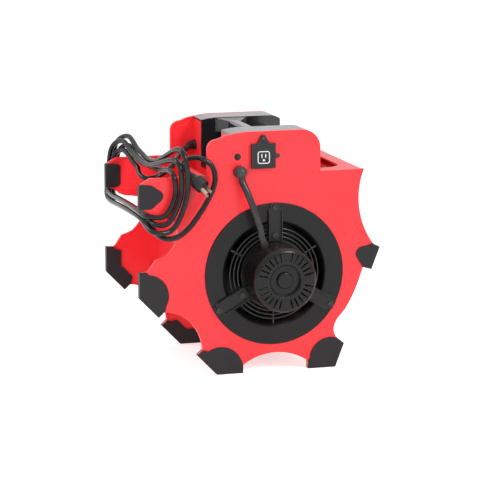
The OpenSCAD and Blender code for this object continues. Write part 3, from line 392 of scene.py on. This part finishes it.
JACKET = finish("cord jacket", (0.007, 0.007, 0.008), (0.005, 0.005, 0.005), (0.15, 0.22),
                ior=1.38, grain=2400.0, flow=30.0, relief=0.00003, rounding=0.0,
                dusty=0.05, scratched=0.2)
LEAD_SHEATH = finish("lead sheath", (0.026, 0.025, 0.026), (0.020, 0.019, 0.020), (0.22, 0.30),
                     ior=1.40, grain=2400.0, flow=30.0, relief=0.00003, rounding=0.0,
                     dusty=0.05, scratched=0.2)
BOOT_RUBBER = finish("boot rubber", (0.040, 0.037, 0.039), (0.032, 0.030, 0.031), (0.36, 0.46),
                     ior=1.42, grain=2000.0, relief=0.00005, rounding=0.0008,
                     edge_sheen_and_wear_colour=(0.08, 0.077, 0.077), dusty=0.08, scratched=0.2)
PLATED = finish("plated steel", (0.62, 0.60, 0.56), (0.48, 0.46, 0.43), (0.22, 0.38),
                metallic=1.0, grain=2600.0, flow=120.0, relief=0.00002, rounding=0.0005,
                dusty=0.05, scratched=0.6)
BLACK_OXIDE = finish("black oxide", (0.05, 0.048, 0.046), (0.03, 0.029, 0.028), (0.25, 0.4),
                     metallic=0.6, grain=2600.0, flow=120.0, relief=0.00002, rounding=0.0006,
                     edge_sheen_and_wear_colour=(0.32, 0.31, 0.29), width=0.0006, dusty=0.05, scratched=0.5)
LAMINATED = finish("laminated steel", (0.34, 0.33, 0.33), (0.22, 0.215, 0.21), (0.35, 0.5),
                   metallic=1.0, grain=3000.0, flow=200.0, relief=0.00005, rounding=0.0,
                   dusty=0.1, scratched=0.6)
GROUND = finish("ground steel", (0.70, 0.70, 0.71), (0.58, 0.58, 0.59), (0.14, 0.26),
                metallic=1.0, grain=3200.0, flow=150.0, relief=0.00001, rounding=0.0004,
                dusty=0.02, scratched=0.7)
WHEEL = finish("fan wheel black", (0.035, 0.035, 0.036), (0.024, 0.024, 0.025), (0.4, 0.5),
               grain=1300.0, relief=0.00004, rounding=0.0005, edge_sheen_and_wear_colour=(0.07, 0.07, 0.07),
               dusty=0.25, scratched=0.3)
BRASS = finish("plated brass", (0.46, 0.39, 0.31), (0.33, 0.28, 0.22), (0.25, 0.36),
               metallic=1.0, grain=2800.0, flow=160.0, relief=0.00001, rounding=0.0004,
               dusty=0.02, scratched=0.6)
PRINT_WHITE = finish("white print", (0.72, 0.72, 0.72), (0.58, 0.58, 0.59), (0.5, 0.6),
                     grain=2600.0, flow=400.0, relief=0.00002, rounding=0.0, dusty=0.0,
                     scratched=0.4)

DRESS = {
    RED: ["near_shell", "far_shell"],
    CAP_RUBBER: [f"{side}_cap_{place}" for side in ("near", "far")
                 for place in ("horn", "rear", "rear_floor", "front_floor", "front")],
    PANEL_BLACK: ["inlet_ring", "far_inlet_grille"],
    WIRE_BLACK: ["inlet_guard", "outlet_grille"],
    MOTOR_PAINT: ["motor_can", "motor_flange", "motor_front_bell", "motor_rear_bell",
                  "motor_dust_cap"],
    ARM_PAINT: ["motor_arm_top", "motor_arm_rear", "motor_arm_front"],
    BLACK_OXIDE: ["arm_screws", "receptacle_screw", "cover_screw"],
    PLATED: ["shell_screws", "hub_nut"],
    BRASS: ["plug_blades"],
    LAMINATED: ["motor_stator", "motor_rotor"],
    GROUND: ["front_bearing", "rear_bearing", "motor_shaft"],
    WHEEL: ["impeller"],
    HANDLE_BLACK: ["handle_insert"],
    CONTROL_BLACK: ["speed_switch", "speed_knob", "receptacle", "receptacle_cover", "breaker",
                    "reset_button", "lead_gland", "strain_relief", "plug"],
    BOOT_RUBBER: ["lead_boot"],
}
for material, names in DRESS.items():
    for name in names:
        mesh = nodes[name].data
        mesh.materials.clear()
        mesh.materials.append(material)
mains_cord.data.materials.append(JACKET)
motor_cable.data.materials.append(LEAD_SHEATH)

# ---------------------------------------------------------------- detail pieces


def solid(name, mesh, material, body):
    """Links a finished bmesh as a piece that rides on a body."""
    data = bpy.data.meshes.new(name)
    bmesh.ops.recalc_face_normals(mesh, faces=mesh.faces)
    mesh.to_mesh(data)
    mesh.free()
    data.materials.append(material)
    piece = bpy.data.objects.new(name, data)
    bpy.context.scene.collection.objects.link(piece)
    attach(piece, body)


def dome(mesh, centre, outward, radius, height, sides=20, rings=5):
    """Adds a low round bump to a mesh, open towards the face it stands on."""
    across = Vector((1, 0, 0))
    up = outward.cross(across)
    rows = []
    for r in range(rings + 1):
        a = r / (rings + 1) * math.pi / 2
        rows.append([mesh.verts.new(centre + outward * (height * math.sin(a))
                                    + (across * math.cos(b) + up * math.sin(b))
                                    * (radius * math.cos(a)))
                     for b in (2 * math.pi * s / sides for s in range(sides))])
    top = mesh.verts.new(centre + outward * height)
    for low, high in zip(rows, rows[1:]):
        for s in range(sides):
            t = (s + 1) % sides
            mesh.faces.new((low[s], low[t], high[t], high[s]))
    for s in range(sides):
        mesh.faces.new((rows[-1][s], rows[-1][(s + 1) % sides], top))
    for face in mesh.faces:
        face.smooth = True


BUMPS = [(-110.5, 291), (-136.9, 152.5), (124.4, 77.2), (160.5, 247.8), (100.6, 362.6),
         (-89.1, 349.5)]
BUMP_FOOT = -96.8      # 0.2 below the near plate's outer face
BUMP_RADIUS = 3.4
BUMP_HEIGHT = 1.8
bumps = bmesh.new()
for x, z in BUMPS:
    dome(bumps, Vector((x, BUMP_FOOT, z)) * MM, Vector((0, -1, 0)), BUMP_RADIUS * MM,
         BUMP_HEIGHT * MM)
solid("near_plate_bumps", bumps, RED, "housing")


def flat_print(mesh, outline, y, thickness):
    """Adds a thin flat print with its outline in X and Z: its front face and the edge."""
    rows = []
    for depth in (y, y - thickness):
        rows.append([mesh.verts.new(Vector((x, depth, z))) for x, z in outline])
    back, front = rows
    count = len(outline)
    mesh.faces.new(front)
    for i in range(count):
        j = (i + 1) % count
        mesh.faces.new((back[i], back[j], front[j], front[i]))


def stroke(mesh, line, half_width, y, thickness):
    """Adds a closed flat stroke along a line in X and Z."""
    count = len(line)
    rows = []
    for i, (x, z) in enumerate(line):
        a, b = line[i - 1], line[(i + 1) % count]
        along = Vector((b[0] - a[0], b[1] - a[1])).normalized()
        side = Vector((-along.y, along.x)) * half_width
        rows.append([mesh.verts.new(Vector((x + s * side.x, depth, z + s * side.y)))
                     for depth in (y, y - thickness) for s in (-1, 1)])
    for i in range(count):
        a, b = rows[i], rows[(i + 1) % count]
        mesh.faces.new((a[2], b[2], b[3], a[3]))
        mesh.faces.new((a[0], b[0], b[2], a[2]))
        mesh.faces.new((a[3], b[3], b[1], a[1]))


def rounded_square(x, z, half, radius, steps=6):
    """Outline of a square with round corners."""
    line = []
    for k, (cx, cz) in enumerate(((1, 1), (-1, 1), (-1, -1), (1, -1))):
        for s in range(steps + 1):
            a = math.pi / 2 * (k + s / steps)
            line.append((x + cx * (half - radius) + radius * math.cos(a),
                         z + cz * (half - radius) + radius * math.sin(a)))
    return line


SIGN_RISE = 20 * MM            # middle of the sign above the cover's lower edge
PRINT_THICKNESS = 0.12 * MM
FRAME_HALF = 10.5 * MM
FRAME_CORNER = 3.5 * MM
FRAME_STROKE = 0.8 * MM        # half the width of its line
SLOT_APART = 3.6 * MM          # each slot from the middle
SLOT_HALF = 0.9 * MM
SLOT_FOOT = -0.6 * MM
SLOT_TOP = 6.2 * MM
EARTH_RADIUS = 2.1 * MM        # round top of the earth hole
EARTH_MIDDLE = -5.0 * MM
EARTH_FOOT = -6.6 * MM
EARTH_STEPS = 10

cover_low, cover_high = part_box("receptacle_cover")
cover_x = (cover_low[0] + cover_high[0]) / 2
cover_z = cover_low[2] + SIGN_RISE
cover_face = cover_low[1]
sign = bmesh.new()
stroke(sign, rounded_square(cover_x, cover_z, FRAME_HALF, FRAME_CORNER), FRAME_STROKE,
       cover_face, PRINT_THICKNESS)
for way in (-1, 1):
    slot_x = cover_x + way * SLOT_APART
    left, right = slot_x - SLOT_HALF, slot_x + SLOT_HALF
    low, high = cover_z + SLOT_FOOT, cover_z + SLOT_TOP
    flat_print(sign, [(left, low), (right, low), (right, high), (left, high)], cover_face,
               PRINT_THICKNESS)
arch = [(cover_x + EARTH_RADIUS * math.cos(math.pi * s / EARTH_STEPS),
         cover_z + EARTH_MIDDLE + EARTH_RADIUS * math.sin(math.pi * s / EARTH_STEPS))
        for s in range(EARTH_STEPS + 1)]
arch += [(cover_x - EARTH_RADIUS, cover_z + EARTH_FOOT),
         (cover_x + EARTH_RADIUS, cover_z + EARTH_FOOT)]
flat_print(sign, arch, cover_face, PRINT_THICKNESS)
solid("socket_sign", sign, PRINT_WHITE, "cover")

# ---------------------------------------------------------------- floor, light, background

FLOOR_HALF = 30
FLOOR_GLOW = 0.55
WORLD_LIGHT = 0.6      # strength of the world as a light
WORLD_SEEN = 1.0       # strength of the world where it is looked at


def looked_at(tree):
    """1 for rays from the camera, from gloss and through glass, 0 for the rest."""
    light = tree.nodes.new("ShaderNodeLightPath")
    seen = sums(tree, "MAXIMUM", light.outputs["Is Camera Ray"], light.outputs["Is Glossy Ray"])
    return sums(tree, "MAXIMUM", seen, light.outputs["Is Transmission Ray"])


def lit_white(name, colour, glow):
    """A matt surface for the light that lands on it, and near white where it is looked at."""
    material = bpy.data.materials.new(name)
    material.use_nodes = True
    tree = material.node_tree
    surface = tree.nodes["Principled BSDF"]
    surface.inputs["Base Color"].default_value = (*colour, 1.0)
    surface.inputs["Roughness"].default_value = 0.9
    surface.inputs["Specular IOR Level"].default_value = 0.0
    plain = tree.nodes.new("ShaderNodeEmission")
    plain.inputs["Strength"].default_value = glow
    both = tree.nodes.new("ShaderNodeAddShader")
    tree.links.new(surface.outputs["BSDF"], both.inputs[0])
    tree.links.new(plain.outputs["Emission"], both.inputs[1])
    pick = tree.nodes.new("ShaderNodeMixShader")
    tree.links.new(looked_at(tree), pick.inputs["Fac"])
    tree.links.new(surface.outputs["BSDF"], pick.inputs[1])
    tree.links.new(both.outputs["Shader"], pick.inputs[2])
    tree.links.new(pick.outputs["Shader"], tree.nodes["Material Output"].inputs["Surface"])
    return material


floor_mesh = bpy.data.meshes.new("studio_floor")
floor_mesh.from_pydata([(x * FLOOR_HALF, y * FLOOR_HALF, 0)
                        for x, y in ((-1, -1), (1, -1), (1, 1), (-1, 1))], [], [(0, 1, 2, 3)])
floor_mesh.materials.append(lit_white("studio floor", (0.8, 0.8, 0.8), FLOOR_GLOW))
floor = bpy.data.objects.new("studio_floor", floor_mesh)
bpy.context.scene.collection.objects.link(floor)


def lamp(name, place, aim, size, power, mirrored=True):
    """A square soft lamp that looks at a point; gloss shows it only where it is mirrored."""
    data = bpy.data.lights.new(name, "AREA")
    data.shape = "SQUARE"
    data.size = size
    data.energy = power
    holder = bpy.data.objects.new(name, data)
    bpy.context.scene.collection.objects.link(holder)
    holder.location = place
    holder.rotation_mode = "QUATERNION"
    holder.rotation_quaternion = (Vector(aim) - Vector(place)).to_track_quat("-Z", "Y")
    holder.visible_glossy = mirrored


lamp("key_softbox", (1.5, -2.6, 2.6), (0, 0, 0.22), 1.1, 80)
lamp("rear_softbox", (-2.4, 1.2, 2.2), (0, 0, 0.25), 1.4, 35)
lamp("front_fill", (-2.2, -3.2, 1.1), (0, 0, 0.22), 1.6, 70, mirrored=False)

world = bpy.data.worlds.new("studio")
bpy.context.scene.world = world
world.use_nodes = True
sky = world.node_tree
backdrop = sky.nodes["Background"]
backdrop.inputs["Color"].default_value = (1, 1, 1, 1)
sky.links.new(spread(sky, looked_at(sky), 0.0, 1.0, WORLD_LIGHT, WORLD_SEEN),
              backdrop.inputs["Strength"])

bpy.context.scene.view_settings.view_transform = "Standard"
